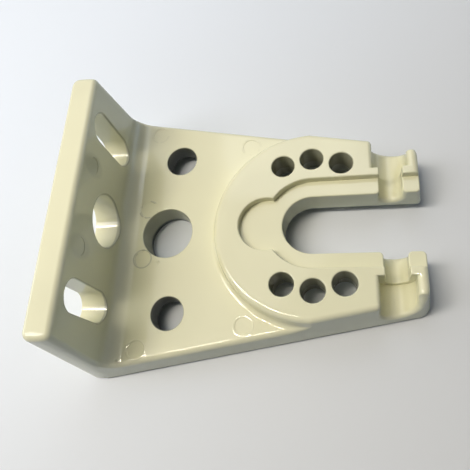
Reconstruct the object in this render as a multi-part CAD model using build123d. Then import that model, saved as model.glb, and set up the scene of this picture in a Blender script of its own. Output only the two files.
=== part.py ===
"""Awning bracket: one aluminium casting with an upright flange, a tapering plate and two hooked arms.

The underside rests on Z = 0. X runs from the flange to the arm ends, with X = 0 on the flange's
inner face, and Y = 0 is the plane of symmetry. Millimetres.
"""
import math
import os

from build123d import *

# Outside of the casting
flange_height = 48.0
flange_thickness = 10.0
flange_half_width = 54.2      # at the underside
taper_start = -3.0            # X where the sides begin to close in
plate_length = 114.0          # X of the arm ends at the underside
end_half_width = 29.9         # at the arm ends, at the underside
draft = 8.0                   # degrees by which every outer side leans in
plate_top = 11.2
pad_top = 17.2

# Rounded edges of the outside
end_corner = 5.0
flange_corner = 3.0
taper_round = 16.0
bend_inside = 7.0
bend_outside = 5.0
edge_round = 2.0
foot_round = 0.8              # along the lower edge of the sides and the arm ends

# U-slot and the raised pad around it
slot_length = 39.2            # from the centre of the slot's round end to the arm ends
slot_radius = 10.9
pad_overhang = 0.93           # how far the pad's round end would reach past the plate's sides
pad_foot_round = 2.0
pad_join = 2.2                # past the slot's centre, where the pad takes in the whole plate

# Shallow seat round the slot, with a lobe towards the flange
seat_depth = 3.0
seat_radius = 17.0
lobe_offset = 16.6
lobe_radius = 10.1

# Holes on a circle round the slot's end, three on each arm
arm_hole_radius = 4.25
arm_hole_circle = 25.0
arm_hole_step = 25.0          # degrees between neighbours
arm_holes = 3

# Holes in the plate
main_hole_x = 18.7
main_hole_radius = 10.0
side_hole_x = 21.8
side_hole_y = 31.5
side_hole_radius = 6.2

# Openings in the flange
flange_slot_from_end = 22.6   # from the flange's end at the underside to the slot's centre line
flange_slot_below_top = 4.3
flange_slot_above_plate = 4.7
flange_slot_radius = 5.6
flange_hole_above_plate = 4.0
flange_hole_radius = 9.9

# Stepped saddle across each arm, which leaves the hook at the end
saddle_from_end = 11.7
saddle_z = 10.8
saddle_radius = 4.0           # for a pin's shank
head_radius = 6.0             # for its head, on the outer side
head_from_seat = 3.0          # from the seat's side wall to the step between shank and head

# Hollow underside
hollow_depth = 4.0
hollow_start = 7.0            # from the flange's inner face
skirt = 5.0
boss_wall = 5.0
saddle_wall = 3.0
hollow_corner = 2.0

# Small edges and the shallow marks of the ejector pins
rim_round = 0.5
corner_round = 1.5
mark_radius = 3.1
mark_depth = 0.15
plate_marks = ((9.6, 10.4), (11.1, 44.8), (50.4, 35.8))
flange_mark = (15.1, 39.7)

big = 4 * plate_length        # reaches past the casting on every side
lean = math.tan(math.radians(draft))
on_floor = (Align.CENTER, Align.CENTER, Align.MIN)
to_right = (Align.MIN, Align.CENTER, Align.MIN)
to_left = (Align.MAX, Align.CENTER, Align.MIN)
slope = (flange_half_width - end_half_width) / (plate_length - taper_start)
slot_x = plate_length - slot_length
saddle_x = plate_length - saddle_from_end
head_start = seat_radius + head_from_seat
seat_z = pad_top - seat_depth


def side_y(x):
    """Half the plate's width at the underside."""
    return flange_half_width - slope * (x - taper_start)


# The pad's round end at the plate's top reaches just past the leaning sides
pad_radius = side_y(slot_x) * math.cos(math.atan(slope)) - plate_top * lean + pad_overhang

flange_slot_y = flange_half_width - flange_slot_from_end
flange_slot_length = flange_height - flange_slot_below_top - plate_top - flange_slot_above_plate
flange_slot_z = flange_height - flange_slot_below_top - flange_slot_length / 2
flange_hole_z = plate_top + flange_hole_above_plate + flange_hole_radius


def upright(edge, length):
    """Whether an edge climbs at least this far."""
    return edge.bounding_box().size.Z > length


def level(edge, z):
    """Whether an edge lies flat at this height."""
    box = edge.bounding_box()
    return abs(box.min.Z - z) < 0.01 and abs(box.max.Z - z) < 0.01


def leaning_block(height):
    """The outline of the underside drawn up to a height, with its sides leaning in."""
    corners = [
        (-big, -flange_half_width),
        (taper_start, -flange_half_width),
        (plate_length, -end_half_width),
        (plate_length, end_half_width),
        (taper_start, flange_half_width),
        (-big, flange_half_width),
    ]
    outline = make_face(Polyline(*corners, close=True))
    block = extrude(outline, height, taper=draft)
    return block & Pos(-flange_thickness, 0, 0) * Box(big, big, big, align=to_right)


def round_end_corners(solid):
    """Round the two leaning corners at the arm ends."""
    corners = [e for e in solid.edges() if e.center().X > plate_length * 0.9
               and abs(e.center().Y) > end_half_width / 2 and upright(e, plate_top)]
    return fillet(corners, end_corner)


def pad_cone(height):
    """The round end of the pad from the plate's top up, leaning like the outer sides."""
    return Pos(slot_x, 0, plate_top) * extrude(Circle(pad_radius), height - plate_top, taper=draft)


def blunt_body():
    """Flange, plate and pad with every round but the pad's top, the pad drawn too high."""
    tall = pad_top + 2 * pad_foot_round + edge_round
    above_join = Pos(slot_x + pad_join, 0, plate_top) * Box(big, big, tall - plate_top, align=to_right)
    room = Box(big, big, plate_top, align=on_floor)
    room += Box(big, big, big, align=to_left)
    room += pad_cone(tall) + above_join
    body = (leaning_block(flange_height) & room).solid()
    body = round_end_corners(body)
    body = fillet([e for e in body.edges() if upright(e, flange_height * 0.9)
                   and taper_start - 3 < e.center().X < -0.5], taper_round)
    body = fillet([e for e in body.edges() if level(e, 0)
                   and e.center().X > -flange_thickness + 0.1], foot_round)
    body = fillet([e for e in body.edges() if level(e, plate_top)
                   and abs(e.center().X) < 0.01], bend_inside)
    body = fillet([e for e in body.edges() if level(e, plate_top)
                   and e.geom_type == GeomType.CIRCLE], pad_foot_round)
    body = fillet([e for e in body.edges() if upright(e, flange_height * 0.9)
                   and e.center().X < -flange_thickness + 0.1], flange_corner)
    return round_side_edges(body - outside_bend())


def outside_bend():
    """What the round under the flange's back takes away."""
    corner = Box(bend_outside, big, bend_outside, align=to_right)
    corner -= Pos(bend_outside, 0, bend_outside) * Rot(90, 0, 0) * Cylinder(bend_outside, big)
    return Pos(-flange_thickness, 0, 0) * corner


def round_side_edges(body):
    """Round the edge that runs along each side: up the flange, along the plate and onto the pad."""
    side = [e for e in body.edges() if -0.01 < e.center().X < slot_x + pad_join
            and abs(e.center().Y) > pad_radius * 0.8
            and plate_top - 0.1 < e.center().Z < flange_height - 0.1]
    body = fillet(side, edge_round)
    top = [e for e in body.edges() if level(e, flange_height)]
    return fillet(top, edge_round)


def pad_cap():
    """The space under the pad's rounded top."""
    cap = round_end_corners(leaning_block(pad_top))
    cap = fillet([e for e in cap.edges() if level(e, pad_top) and e.center().X > 0], edge_round)
    disc = pad_cone(pad_top)
    disc = fillet(disc.edges().filter_by(GeomType.CIRCLE).sort_by(Axis.Z)[-1:], edge_round)
    return cap & (disc + Pos(slot_x + pad_join, 0, 0) * Box(big, big, big, align=to_right))


def solid_casting():
    """The casting before anything is cut from it."""
    under_round = Box(big, big, pad_top - edge_round - 1, align=on_floor)
    behind_pad = Pos(bend_inside + edge_round, 0, 0) * Box(big, big, big, align=to_left)
    return (blunt_body() & (pad_cap() + under_round + behind_pad)).solid()


def open_slot(radius, bottom):
    """A cut round the slot's end with this radius, open at the arm ends."""
    cut = Cylinder(radius, big, align=on_floor) + Box(big, 2 * radius, big, align=to_right)
    return Pos(slot_x, 0, bottom) * cut


def seat():
    """The shallow seat round the U-slot."""
    lobe = Cylinder(lobe_radius, big, align=on_floor)
    return open_slot(seat_radius, seat_z) + Pos(slot_x - lobe_offset, 0, seat_z) * lobe


def plate_hole(x, y, radius):
    """A round hole down through the casting."""
    return Pos(x, y, 0) * Cylinder(radius, big)


def upright_holes():
    """The holes in the plate and on both arms."""
    holes = [plate_hole(main_hole_x, 0, main_hole_radius)]
    for side in (-1, 1):
        holes.append(plate_hole(side_hole_x, side * side_hole_y, side_hole_radius))
        for i in range(arm_holes):
            turn = math.radians(90 + (i - (arm_holes - 1) / 2) * arm_hole_step)
            x = slot_x + arm_hole_circle * math.cos(turn)
            holes.append(plate_hole(x, side * arm_hole_circle * math.sin(turn), arm_hole_radius))
    return holes


def flange_openings():
    """The round hole and the two long slots through the flange."""
    across = Rot(0, 90, 0)
    hole = across * Cylinder(flange_hole_radius, big)
    slot_face = SlotOverall(flange_slot_length, 2 * flange_slot_radius)
    slot = across * extrude(slot_face, flange_thickness * 2, both=True)
    openings = [Pos(0, 0, flange_hole_z) * hole]
    openings += [Pos(0, side * flange_slot_y, flange_slot_z) * slot for side in (-1, 1)]
    keep = Box(big, big, big, align=(Align.MAX, Align.CENTER, Align.CENTER))
    return [opening & Pos(bend_inside, 0, 0) * keep for opening in openings]


def saddle_groove(radius, start, end):
    """A round-bottomed groove across an arm, open above, between two distances from the middle."""
    round_bottom = Rot(90, 0, 0) * Cylinder(radius, end - start)
    above = Box(2 * radius, end - start, big, align=on_floor)
    return Pos(saddle_x, (start + end) / 2, saddle_z) * (round_bottom + above)


def saddles():
    """The stepped grooves of both arms."""
    shank = saddle_groove(saddle_radius, 0, head_start)
    head = saddle_groove(head_radius, head_start, flange_half_width)
    one = shank + head
    return [one, mirror(one, Plane.XZ)]


def hollow():
    """The space under the plate, inside the skirt and clear of the bosses."""
    inset = skirt * math.hypot(1, slope)
    end_x = plate_length + 1
    start_y = side_y(hollow_start) - inset
    end_y = side_y(end_x) - inset
    corners = [(hollow_start, -start_y), (end_x, -end_y), (end_x, end_y), (hollow_start, start_y)]
    space = extrude(make_face(Polyline(*corners, close=True)), hollow_depth)
    space -= Pos(main_hole_x, 0, 0) * Cylinder(main_hole_radius + boss_wall, big)
    block_x = saddle_x - head_radius - saddle_wall
    for side in (-1, 1):
        y = side * (head_start - saddle_wall + big / 2)
        space -= Pos(block_x, y, 0) * Box(big, big, big, align=(Align.MIN, Align.CENTER, Align.CENTER))
    walls = [e for e in space.edges() if upright(e, hollow_depth - 0.1)
             and e.geom_type == GeomType.LINE and abs(e.center().Y) > head_start / 2]
    return fillet(walls, hollow_corner)


def pin_marks():
    """The shallow round marks that the ejector pins leave."""
    mark = Cylinder(mark_radius, 2 * mark_depth)
    cuts = []
    for side in (-1, 1):
        cuts += [Pos(x, side * y, plate_top) * mark for x, y in plate_marks]
        cuts.append(Pos(0, side * flange_mark[0], flange_mark[1]) * Rot(0, 90, 0) * mark)
    return cuts


def groove_corners(body):
    """The upright edges where the grooves and the arm ends meet the U-slot, and the pad's end corners."""
    corners = []
    for edge in body.edges():
        box = edge.bounding_box()
        on_slot_wall = box.size.Y < 0.01 and abs(abs(box.min.Y) - slot_radius) < 0.01
        at_slot = on_slot_wall and box.min.X > slot_x + slot_radius
        at_pad_end = box.size.X < 0.01 and abs(box.min.X - saddle_x + head_radius) < 0.01
        outside = abs(edge.center().Y) > head_start + 1
        if upright(edge, 1) and (at_slot or at_pad_end and outside):
            corners.append(edge)
    return corners


def opening_rims(body):
    """The sharp upper edges that the cuts leave on the flat faces."""
    rims = []
    for face in body.faces():
        box = face.bounding_box()
        if abs(face.normal_at().Z) > 0.01 or box.size.Z < 1:
            continue
        for z in (pad_top, seat_z, plate_top):
            if abs(box.max.Z - z) < 0.01:
                rims += [e for e in face.edges() if level(e, z)]
    return rims


def flange_rims(body):
    """The edges round the flange's openings, on both of its faces and on the bend."""
    rims = []
    for edge in body.edges():
        box = edge.bounding_box()
        seam = any(level(edge, z) for z in (plate_top + bend_inside, flange_height - edge_round))
        inner = box.min.X > -0.02 and box.max.X < bend_inside
        outer = box.max.X < -flange_thickness + 0.02
        inside = abs(edge.center().Y) < flange_slot_y + flange_slot_radius + 0.1
        if (inner or outer) and inside and not seam and bend_outside + 1 < box.min.Z:
            rims.append(edge)
    return rims


def bracket():
    """The whole casting."""
    body = solid_casting()
    cuts = [open_slot(slot_radius, -1), seat(), hollow()]
    cuts += upright_holes() + flange_openings() + saddles()
    for cut in cuts:
        body = body - cut
    body = body.solid()
    body = body.fillet(corner_round, groove_corners(body))
    body = body.fillet(rim_round, opening_rims(body) + flange_rims(body))
    for mark in pin_marks():
        body = body - mark
    return body.solid()


if __name__ == "__main__":
    os.makedirs("parts", exist_ok=True)
    casting = bracket()
    casting.label = "bracket_casting"
    export_step(casting, "parts/bracket_casting.step")
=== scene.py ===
"""Awning bracket: the casting in its glossy cream powder coat, on a pale table under strip lamps."""

import math

import bmesh
import bpy
from bpy.props import FloatProperty, FloatVectorProperty, PointerProperty
from mathutils import Matrix, Vector


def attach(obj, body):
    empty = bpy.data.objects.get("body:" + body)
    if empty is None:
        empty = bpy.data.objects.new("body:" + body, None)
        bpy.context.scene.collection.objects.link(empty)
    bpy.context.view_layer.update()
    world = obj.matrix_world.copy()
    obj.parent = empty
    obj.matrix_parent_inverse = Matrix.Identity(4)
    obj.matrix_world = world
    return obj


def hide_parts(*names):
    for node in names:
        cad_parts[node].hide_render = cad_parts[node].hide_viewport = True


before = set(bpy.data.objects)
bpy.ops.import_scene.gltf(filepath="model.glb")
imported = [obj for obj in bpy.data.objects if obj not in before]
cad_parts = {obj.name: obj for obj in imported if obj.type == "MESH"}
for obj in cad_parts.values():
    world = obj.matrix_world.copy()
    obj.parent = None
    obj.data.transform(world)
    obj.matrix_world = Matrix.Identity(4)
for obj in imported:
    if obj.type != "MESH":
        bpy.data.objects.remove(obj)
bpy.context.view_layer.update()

bl_info = {
    "name": "Awning Bracket",
    "version": (1, 0, 0),
    "blender": (4, 5, 0),
    "location": "View3D > Sidebar > Bracket",
    "description": "Dresses the cast awning bracket and sets its table, lamps and camera",
    "category": "Object",
}

MM = 0.001
NODE = "bracket_casting"
MERGE_GAP = 0.002 * MM

# The next tables are in millimetres, and their Y counts for both halves of the casting

# Upright bores: X, Y, radius, and how dark the painted shade inside them is
BORES = (
    (18.7, 0, 10.0, 0.35),
    (21.8, 31.5, 6.2, 0.92),
    (64.2, 22.7, 4.25, 0.68),
    (74.8, 25.0, 4.25, 0.68),
    (85.4, 22.7, 4.25, 0.68),
)
# Marks of the ejector pins: on the plate as X, Y and how plain the lip is, on the flange as Y, Z
PLATE_PINS = ((9.6, 10.4, 1.0), (11.1, 44.8, 0.25), (50.4, 35.8, 0.22))
FLANGE_PIN = (15.1, 39.7)
# The flange's round opening and its upright slots: Y, lowest and highest centre, radius
FLANGE_OPENINGS = ((0, 25.1, 25.1, 9.9), (31.6, 21.5, 38.1, 5.6))
# Small nibs of powder that stand in the coat: X, Y, Z, on the near half alone
NIBS = ((9.6, -6.8, 11.2), (16.2, -11.8, 11.2), (4.5, -48.7, 12.0))

# Ramps for Wire.step: where a mask is 0, and where it is 1
BORE_FOOT = (2.4 * MM, 1.2 * MM)
BORE_DEPTH = (17.2 * MM, 6.0 * MM)
LOWER_EDGE = (1.5 * MM, 0.7 * MM)
OFF_STANDING_FACE = (0.01 * MM, 0.08 * MM)
OPENING_RIM = (0.55 * MM, 0.25 * MM)
IN_FROM_OPENING = (-0.9 * MM, -0.4 * MM)
OFF_THE_PAD = (1.2 * MM, 0.9 * MM)
IN_FROM_FLANGE = (-0.6 * MM, -0.3 * MM)
NEAR_HALF = (1.0 * MM, -1.0 * MM)
BROKEN_LIP = (0.48, 0.56)
LIP = (0.0, 0.42 * MM)
NIB = (0.8 * MM, 0.1 * MM)
TONE = (0.35, 0.65)

# How dark the painted shade is at a bore's foot, and the share of it that shows at its mouth
BORE_FOOT_SHADE = 0.95
BORE_MOUTH = 0.6
# How dark each place gets towards the shade-and-mark colour, where 1 is that colour itself: painted shade
# along the lowest edge, on the flange's rims and along the pin lips, and the flange pin's faint tone
EDGE_SHADE = 0.85
RIM_SHADE = 0.35
LIP_SHADE = 0.32
PIN_SHADE = 0.12

BORE_RIM = 0.35 * MM
PIN_RADIUS = 3.1 * MM
LIP_RADIUS = 3.6 * MM
# The second, weaker lip of a plate pin: how far it lies along X in millimetres, and its strength
SECOND_LIP = (0.55, 0.6)
# The flange pin's shade: how far it fades out, and how much of a height counts in its oval
PIN_FADE = 1.8 * MM
PIN_OVAL = 0.65
# Lumps of the noise that breaks the lips, wanders in tone and changes the gloss
LIP_LUMPS = 3 * MM
TONE_LUMPS = 30 * MM
GLOSS_LUMPS = 9 * MM
GLOSS_CHANGE = 0.06
SHADED_ROUGHNESS = 0.3
COAT_IOR = 1.55

SHARP_ANGLE = math.radians(32)
TABLE_GAP = 0.02 * MM
# Painted light on the table: its colour runs from its dull to its bright side between these places, in metres
TABLE_FALL = (-0.7, 0.6, 0)
TABLE_PAINTED_LIGHT = (-0.14, 0.12)
# The table fades into the white room between these distances
TABLE_FADE = (0.2, 0.9)

TUBE_COLOUR = (1.0, 0.93, 0.78)
# A lamp that looks straight down is aimed a hair off, to keep its long side along X
NEARLY_PLUMB = 0.99
# Soft lights stand round this place, one metre away
LIT_PLACE = (0.05, 0, 0.02)
# The window: turn from +X and climb from the table in degrees, colour, width
WINDOW = (191, 50, (1.0, 0.97, 0.97), 0.35)
# The other soft lights: name, turn, climb, share of the fill's power, colour, width
SOFT_LIGHTS = (
    ("window_far", 135, 50, 2.2, (1.0, 0.97, 0.93), 1.0),
    ("wall_left", 180, 20, 1.0, (0.8, 1.0, 1.25), 0.5),
    ("ceiling_far", 90, 50, 0.7, (0.9, 1.0, 1.15), 0.5),
    ("wall_right", 45, 8, 0.6, (0.75, 1.0, 1.25), 0.5),
)

SENSOR_WIDTH = 36
CAMERA_PLACE = Vector((85.564, -66.069, 174.701)) * MM
CAMERA_RIGHT = Vector((0.974701, 0.048708, -0.218141))
CAMERA_UP = Vector((0.033590, 0.932961, 0.358408))


class Wire:
    """A node's output that takes part in Python sums."""

    def __init__(self, shop, socket):
        self.shop = shop
        self.socket = socket

    def math(self, operation, *values):
        return self.shop.node("ShaderNodeMath", {"operation": operation}, dict(enumerate(values)))

    def __add__(self, other):
        return self.math("ADD", self, other)

    __radd__ = __add__

    def __sub__(self, other):
        return self.math("SUBTRACT", self, other)

    def __rsub__(self, other):
        return self.math("SUBTRACT", other, self)

    def __mul__(self, other):
        return self.math("MULTIPLY", self, other)

    __rmul__ = __mul__

    def __abs__(self):
        return self.math("ABSOLUTE", self)

    def or_more(self, other):
        return self.math("MAXIMUM", self, other)

    def or_less(self, other):
        return self.math("MINIMUM", self, other)

    def step(self, start, end):
        """0 where this is at the start, 1 where it is at the end, smooth between."""
        settings = {"interpolation_type": "SMOOTHSTEP"}
        sockets = {"Value": self, "From Min": start, "From Max": end}
        return self.shop.node("ShaderNodeMapRange", settings, sockets)


class Shop:
    """Makes the nodes of one node tree."""

    def __init__(self, tree):
        self.tree = tree
        self.tree.nodes.clear()

    def node(self, kind, settings=None, sockets=None, output=0):
        made = self.tree.nodes.new(kind)
        for key, value in (settings or {}).items():
            setattr(made, key, value)
        for key, value in (sockets or {}).items():
            if isinstance(value, Wire):
                self.tree.links.new(value.socket, made.inputs[key])
            else:
                made.inputs[key].default_value = value
        return Wire(self, made.outputs[output]) if made.outputs else None

    def place(self):
        return self.node("ShaderNodeTexCoord", output="Object")

    def noise(self, place, size, detail=2.0):
        """Soft noise with lumps of about this size, in metres."""
        return self.node("ShaderNodeTexNoise", {}, {"Vector": place, "Scale": 1 / size, "Detail": detail})

    def distance(self, place, point):
        settings = {"operation": "DISTANCE"}
        return self.node("ShaderNodeVectorMath", settings, {0: place, 1: point}, output="Value")

    def along(self, place, direction):
        """How far a place lies along a direction."""
        settings = {"operation": "DOT_PRODUCT"}
        return self.node("ShaderNodeVectorMath", settings, {0: place, 1: direction}, output="Value")

    def point(self, x, y, z):
        return self.node("ShaderNodeCombineXYZ", {}, {"X": x, "Y": y, "Z": z})

    def mixed(self, factor, first, second):
        settings = {"data_type": "RGBA"}
        return self.node("ShaderNodeMix", settings, {0: factor, 6: first, 7: second}, output=2)

    def bump(self, height):
        """The normal of a surface with these heights, in metres."""
        return self.node("ShaderNodeBump", {}, {"Strength": 1.0, "Distance": 1.0, "Height": height})


def new_material(name):
    material = bpy.data.materials.new(name)
    material.use_nodes = True
    return material, Shop(material.node_tree)


class CoatSettings(bpy.types.PropertyGroup):
    """The powder coat on the casting."""

    colour: FloatVectorProperty(
        name="Coat colour", description="Colour of the powder coat", default=(0.745, 0.725, 0.505),
        subtype="COLOR", min=0, max=1)
    # The colour that the painted shade in the bores, along the lowest edge, on the flange rims and along the
    # pin lips mixes towards, and the flange pin's faint tone too
    shade_and_mark_colour: FloatVectorProperty(
        name="Shade and mark colour", description="Colour where hardly any powder covers the metal",
        default=(0.035, 0.05, 0.05), subtype="COLOR", min=0, max=1)
    roughness: FloatProperty(
        name="Roughness", description="How dull the coat is", default=0.08, min=0, max=1)
    peel_size: FloatProperty(
        name="Orange peel size", description="Width of the coat's ripples",
        default=2.2 * MM, unit="LENGTH")
    peel_depth: FloatProperty(
        name="Orange peel depth", description="Height of the coat's ripples",
        default=0.007 * MM, unit="LENGTH")
    lip_height: FloatProperty(
        name="Lip height", description="Height of the lips round the ejector pins' marks",
        default=0.14 * MM, unit="LENGTH")
    nib_height: FloatProperty(
        name="Nib height", description="Height of the small nibs in the coat",
        default=0.3 * MM, unit="LENGTH")
    tone_change: FloatProperty(
        name="Tone change", description="How far the colour wanders over the casting", default=0.03)


class StageSettings(bpy.types.PropertyGroup):
    """The table, the lamps and the camera."""

    # The two ends of the table's painted light
    table_painted_bright: FloatVectorProperty(
        name="Table, bright side", description="Colour of the table towards the window",
        default=(0.75, 0.80, 0.89), subtype="COLOR", min=0, max=1)
    table_painted_dull: FloatVectorProperty(
        name="Table, dull side", description="Colour of the table on the far side from the window",
        default=(0.605, 0.62, 0.645), subtype="COLOR", min=0, max=1)
    table_return: FloatVectorProperty(
        name="Table, returned light",
        description="Colour with which the table lights the bracket from below",
        default=(0.48, 0.56, 0.72), subtype="COLOR", min=0, max=1)
    table_size: FloatProperty(
        name="Table size", description="Width of the table", default=4.0, unit="LENGTH")
    tube_height: FloatProperty(
        name="Tube height", description="Height of the lamps' tubes above the table",
        default=0.9, unit="LENGTH")
    tube_gap: FloatProperty(
        name="Tube gap", description="Distance between the two tubes of a lamp", default=0.05, unit="LENGTH")
    tube_side: FloatProperty(
        name="Tube side", description="Y of the middle between the two tubes", default=-0.01, unit="LENGTH")
    tube_width: FloatProperty(
        name="Tube width", description="Width of a tube", default=0.016, unit="LENGTH")
    tube_start: FloatProperty(
        name="Tube start", description="X where the tubes begin", default=-0.52, unit="LENGTH")
    tube_end: FloatProperty(
        name="Tube end", description="X where the tubes end", default=-0.04, unit="LENGTH")
    tube_power: FloatProperty(
        name="Tube power", description="Power of the two tubes together", default=5.6)
    window_power: FloatProperty(
        name="Window power", description="Power of the soft light from the flange's side", default=2.4)
    fill_power: FloatProperty(
        name="Fill power", description="Power that the other soft lights take their shares of", default=1.2)
    room_strength: FloatProperty(
        name="Room light", description="Strength of the even light from all sides", default=0.02)
    lens: FloatProperty(
        name="Lens", description="Focal length in millimetres on a 36 mm sensor", default=36.82)


def merged_copy(name, node):
    """A copy of a frame node with its loose triangles joined and smooth shading between its edges."""
    sheet = bmesh.new()
    sheet.from_mesh(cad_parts[node].data)
    bmesh.ops.remove_doubles(sheet, verts=sheet.verts, dist=MERGE_GAP)
    for face in sheet.faces:
        face.smooth = True
        face.material_index = 0
    for edge in sheet.edges:
        edge.smooth = edge.calc_face_angle(0) < SHARP_ANGLE
    mesh = bpy.data.meshes.new(name)
    sheet.to_mesh(mesh)
    sheet.free()
    for attribute in [a for a in mesh.attributes if a.name == "custom_normal"]:
        mesh.attributes.remove(attribute)
    piece = bpy.data.objects.new(name, mesh)
    bpy.context.scene.collection.objects.link(piece)
    steady = piece.modifiers.new("steady normals", "WEIGHTED_NORMAL")
    steady.keep_sharp = True
    return piece


def most(masks):
    """The highest of some masks."""
    highest = masks[0]
    for mask in masks[1:]:
        highest = highest.or_more(mask)
    return highest


def painted_bore_shade(shop, plan, z):
    """Painted shade down the upright bores from their rims on, darkest at their feet."""
    masks = []
    for x, y, radius, inner_shade in BORES:
        reach = shop.distance(plan, (x * MM, y * MM, 0))
        inside = reach.step(radius * MM + BORE_RIM, radius * MM)
        masks.append(inside * (inner_shade + (BORE_FOOT_SHADE - inner_shade) * z.step(*BORE_FOOT)))
    return most(masks) * (BORE_MOUTH + (1 - BORE_MOUTH) * z.step(*BORE_DEPTH))


def painted_contact_shade(z):
    """Painted contact shade on the casting's lowest edge, just above the face that it stands on."""
    return z.step(*LOWER_EDGE) * z.step(*OFF_STANDING_FACE)


def painted_flange_rim_shade(shop, x, y, z):
    """Painted shade on the inner rims of the flange's openings."""
    masks = []
    for middle, lowest, highest, radius in FLANGE_OPENINGS:
        above = (z - highest * MM).or_more(0)
        below = (z - lowest * MM).or_less(0)
        reach = shop.distance(shop.point(0, y, above + below), (0, middle * MM, 0))
        masks.append(abs(reach - radius * MM).step(*OPENING_RIM))
    return most(masks) * x.step(*IN_FROM_OPENING) * x.step(*OFF_THE_PAD)


def pin_rings(shop, place, plan, side):
    """The raised lips round the ejector pins' marks, whole on the near side and broken elsewhere."""
    near = side.step(*NEAR_HALF)
    broken = shop.noise(place, LIP_LUMPS, 1.0).step(*BROKEN_LIP)
    rings = []
    for x, y, plain in PLATE_PINS:
        for shift, share in ((0, 1.0), SECOND_LIP):
            reach = shop.distance(plan, ((x + shift) * MM, y * MM, 0))
            ring = 1 - abs(reach - LIP_RADIUS).step(*LIP)
            whole = broken if shift else broken.or_more(near)
            rings.append(ring * whole * (share * plain))
    return most(rings)


def pin_disc(shop, x, y, z):
    """The faint round shade that an ejector pin left on each half of the flange's inner face."""
    middle, height = FLANGE_PIN
    reach = shop.distance(shop.point(0, y, PIN_OVAL * z), (0, middle * MM, PIN_OVAL * height * MM))
    return reach.step(PIN_RADIUS + PIN_FADE, PIN_RADIUS) * x.step(*IN_FROM_FLANGE)


def nibs(shop, place):
    """Small round nibs in the coat."""
    return most([shop.distance(place, [c * MM for c in nib]).step(*NIB) for nib in NIBS])


def coat_material(settings):
    """Glossy cream powder coat with faint orange peel, painted shade in the bores, along the lowest edge, on
    the flange rims and along the pin lips, and lips round the pins' marks.
    """
    material, shop = new_material("cream powder coat")
    place = shop.place()
    x, side, z = [shop.along(place, axis) for axis in ((1, 0, 0), (0, 1, 0), (0, 0, 1))]
    y = abs(side)
    plan = shop.point(x, y, 0)
    tone = shop.noise(place, TONE_LUMPS, 1.0).step(*TONE)
    light = (*settings.colour, 1)
    deep = (*[c * (1 - 2 * settings.tone_change) for c in settings.colour], 1)
    shade_and_mark_colour = (*settings.shade_and_mark_colour, 1)
    rings = pin_rings(shop, place, plan, side)
    lumps = nibs(shop, place)
    # Painted shade in the bores and along the lowest edge
    painted_bore_and_edge_shade = painted_bore_shade(shop, plan, z).or_more(painted_contact_shade(z) * EDGE_SHADE)
    shade = most([
        painted_bore_and_edge_shade,
        painted_flange_rim_shade(shop, x, y, z) * RIM_SHADE,
        # Painted shade along the pin lips; their rise is the bump in the height
        rings * LIP_SHADE,
        pin_disc(shop, x, y, z) * PIN_SHADE,
    ])
    colour = shop.mixed(shade, shop.mixed(tone, light, deep), shade_and_mark_colour)
    peel = shop.noise(place, settings.peel_size)
    height = peel * settings.peel_depth + rings * settings.lip_height + lumps * settings.nib_height
    gloss = (shop.noise(place, GLOSS_LUMPS) - 0.5) * GLOSS_CHANGE
    # The places of painted shade in the bores and along the lowest edge are also duller
    roughness = settings.roughness + gloss + painted_bore_and_edge_shade * SHADED_ROUGHNESS
    surface = shop.node("ShaderNodeBsdfPrincipled", {}, {
        "Base Color": colour,
        "Roughness": roughness,
        "IOR": COAT_IOR,
        "Normal": shop.bump(height),
    })
    shop.node("ShaderNodeOutputMaterial", {}, {"Surface": surface})
    return material


class BRACKET_OT_casting(bpy.types.Operator):
    """Make the coated casting from the frame's own shape"""

    bl_idname = "bracket.casting"
    bl_label = "Coated casting"

    def execute(self, context):
        piece = merged_copy("coated_casting", NODE)
        piece.data.materials.clear()
        piece.data.materials.append(coat_material(context.scene.bracket_coat))
        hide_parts(NODE)
        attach(piece, "root")
        return {"FINISHED"}


def seen_ray(shop):
    """1 for a ray from the camera, or one that a gloss or a clear thing sends on."""
    seen = shop.node("ShaderNodeLightPath", output="Is Camera Ray")
    for ray in ("Is Glossy Ray", "Is Transmission Ray"):
        seen = seen.or_more(shop.node("ShaderNodeLightPath", output=ray))
    return seen


def table_material(settings):
    """Pale matt table top with painted light, brighter towards the window, that fades into the white room far
    away.
    """
    material, shop = new_material("table top")
    place = shop.place()
    seen = seen_ray(shop)
    # Painted light: the table's colour brightens towards the window
    tone = shop.along(place, TABLE_FALL).step(*TABLE_PAINTED_LIGHT)
    colour = shop.mixed(tone, (*settings.table_painted_dull, 1), (*settings.table_painted_bright, 1))
    colour = shop.mixed(seen, (*settings.table_return, 1), colour)
    top = shop.node("ShaderNodeBsdfPrincipled", {}, {"Base Color": colour, "Roughness": 0.6})
    white = shop.node("ShaderNodeEmission", {}, {"Color": (1, 1, 1, 1), "Strength": 1.0})
    far = shop.distance(place, (0.05, 0, 0)).step(*TABLE_FADE) * seen
    surface = shop.node("ShaderNodeMixShader", {}, {0: far, 1: top, 2: white})
    shop.node("ShaderNodeOutputMaterial", {}, {"Surface": surface})
    return material


def add_table(settings):
    """The table that the bracket stands on."""
    sheet = bmesh.new()
    under = Matrix.Translation((0, 0, -TABLE_GAP))
    bmesh.ops.create_grid(sheet, x_segments=1, y_segments=1, size=settings.table_size / 2, matrix=under)
    mesh = bpy.data.meshes.new("table")
    sheet.to_mesh(mesh)
    sheet.free()
    table = bpy.data.objects.new("table", mesh)
    bpy.context.scene.collection.objects.link(table)
    mesh.materials.append(table_material(settings))


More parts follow.
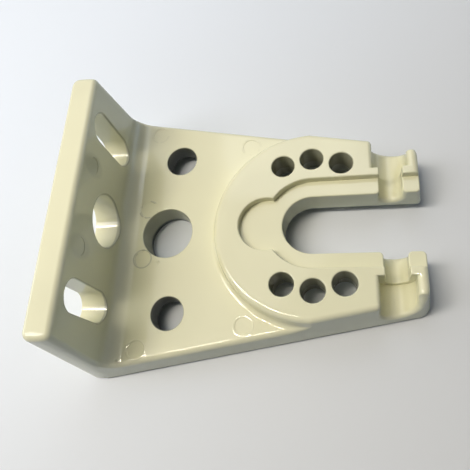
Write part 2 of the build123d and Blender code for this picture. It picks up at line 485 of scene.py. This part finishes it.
def add_area_lamp(name, place, target, size_x, size_y, power, colour=(1, 1, 1)):
    """A rectangular lamp, its long side along X where it looks straight down."""
    data = bpy.data.lights.new(name, "AREA")
    data.shape = "RECTANGLE"
    data.size = size_x
    data.size_y = size_y
    data.energy = power
    data.color = colour
    lamp = bpy.data.objects.new(name, data)
    lamp.location = place
    lamp.rotation_euler = (Vector(target) - Vector(place)).to_track_quat("-Z", "Y").to_euler()
    bpy.context.scene.collection.objects.link(lamp)


def add_tubes(settings):
    """Two parallel tubes overhead, running along the bracket."""
    x = (settings.tube_start + settings.tube_end) / 2
    length = settings.tube_end - settings.tube_start
    for number, side in enumerate((-1, 1)):
        y = settings.tube_side + side * settings.tube_gap / 2
        add_area_lamp(
            "tube_%d" % (number + 1), (x, y, settings.tube_height), (x, NEARLY_PLUMB * y, 0),
            length, settings.tube_width, settings.tube_power / 2, TUBE_COLOUR)


def add_soft_light(name, turn, climb, colour, width, power):
    """A square soft light one metre from the bracket, at a turn from +X and a climb from the table."""
    middle = Vector(LIT_PLACE)
    turn, climb = math.radians(turn), math.radians(climb)
    way = Vector((math.cos(climb) * math.cos(turn), math.cos(climb) * math.sin(turn), math.sin(climb)))
    add_area_lamp(name, middle + way, middle, width, width, power, colour)


def add_soft_lights(settings):
    """The window on the flange's side, a lamp by the wall, and what the walls and the ceiling send back."""
    add_soft_light("window", *WINDOW, settings.window_power)
    for name, turn, climb, share, colour, width in SOFT_LIGHTS:
        add_soft_light(name, turn, climb, colour, width, share * settings.fill_power)
    add_area_lamp("wall_tube", (-0.35, -0.85, 0.9), (-0.35, 0, 0), size_x=0.7, size_y=0.01, power=0.12)


def add_room(settings):
    """White where the camera or a reflection sees the room, and only a little light from it."""
    world = bpy.data.worlds.new("room")
    bpy.context.scene.world = world
    world.use_nodes = True
    shop = Shop(world.node_tree)
    dim = settings.room_strength
    strength = seen_ray(shop) * (1 - dim) + dim
    light = shop.node("ShaderNodeBackground", {}, {"Color": (1, 1, 1, 1), "Strength": strength})
    shop.node("ShaderNodeOutputWorld", {}, {"Surface": light})


def add_camera(settings):
    """The camera at the photograph's place, in front of the near side and above."""
    data = bpy.data.cameras.new("camera")
    data.lens = settings.lens
    data.sensor_width = SENSOR_WIDTH
    data.clip_start = 0.01
    data.clip_end = 20
    camera = bpy.data.objects.new("camera", data)
    back = CAMERA_RIGHT.cross(CAMERA_UP)
    turn = Matrix((CAMERA_RIGHT, CAMERA_UP, back)).transposed().to_4x4()
    camera.matrix_world = Matrix.Translation(CAMERA_PLACE) @ turn
    bpy.context.scene.collection.objects.link(camera)
    bpy.context.scene.camera = camera


class BRACKET_OT_stage(bpy.types.Operator):
    """Set the table, the lamps, the room's light and the camera"""

    bl_idname = "bracket.stage"
    bl_label = "Table, lamps and camera"

    def execute(self, context):
        settings = context.scene.bracket_stage
        add_table(settings)
        add_tubes(settings)
        add_soft_lights(settings)
        add_room(settings)
        add_camera(settings)
        context.scene.view_settings.view_transform = "Standard"
        return {"FINISHED"}


class BRACKET_PT_panel(bpy.types.Panel):
    """Lists the bracket's pieces and their settings"""

    bl_idname = "BRACKET_PT_panel"
    bl_label = "Awning bracket"
    bl_space_type = "VIEW_3D"
    bl_region_type = "UI"
    bl_category = "Bracket"

    def draw(self, context):
        for operator in OPERATORS:
            self.layout.operator(operator.bl_idname)
        for settings in (context.scene.bracket_coat, context.scene.bracket_stage):
            box = self.layout.box()
            for key in settings.__annotations__:
                box.prop(settings, key)


OPERATORS = (BRACKET_OT_casting, BRACKET_OT_stage)
CLASSES = (CoatSettings, StageSettings, *OPERATORS, BRACKET_PT_panel)


def register():
    for cls in CLASSES:
        bpy.utils.register_class(cls)
    bpy.types.Scene.bracket_coat = PointerProperty(type=CoatSettings)
    bpy.types.Scene.bracket_stage = PointerProperty(type=StageSettings)


def unregister():
    del bpy.types.Scene.bracket_stage
    del bpy.types.Scene.bracket_coat
    for cls in reversed(CLASSES):
        bpy.utils.unregister_class(cls)


def main():
    register()
    bpy.ops.bracket.casting()
    bpy.ops.bracket.stage()


if __name__ == "__main__":
    main()
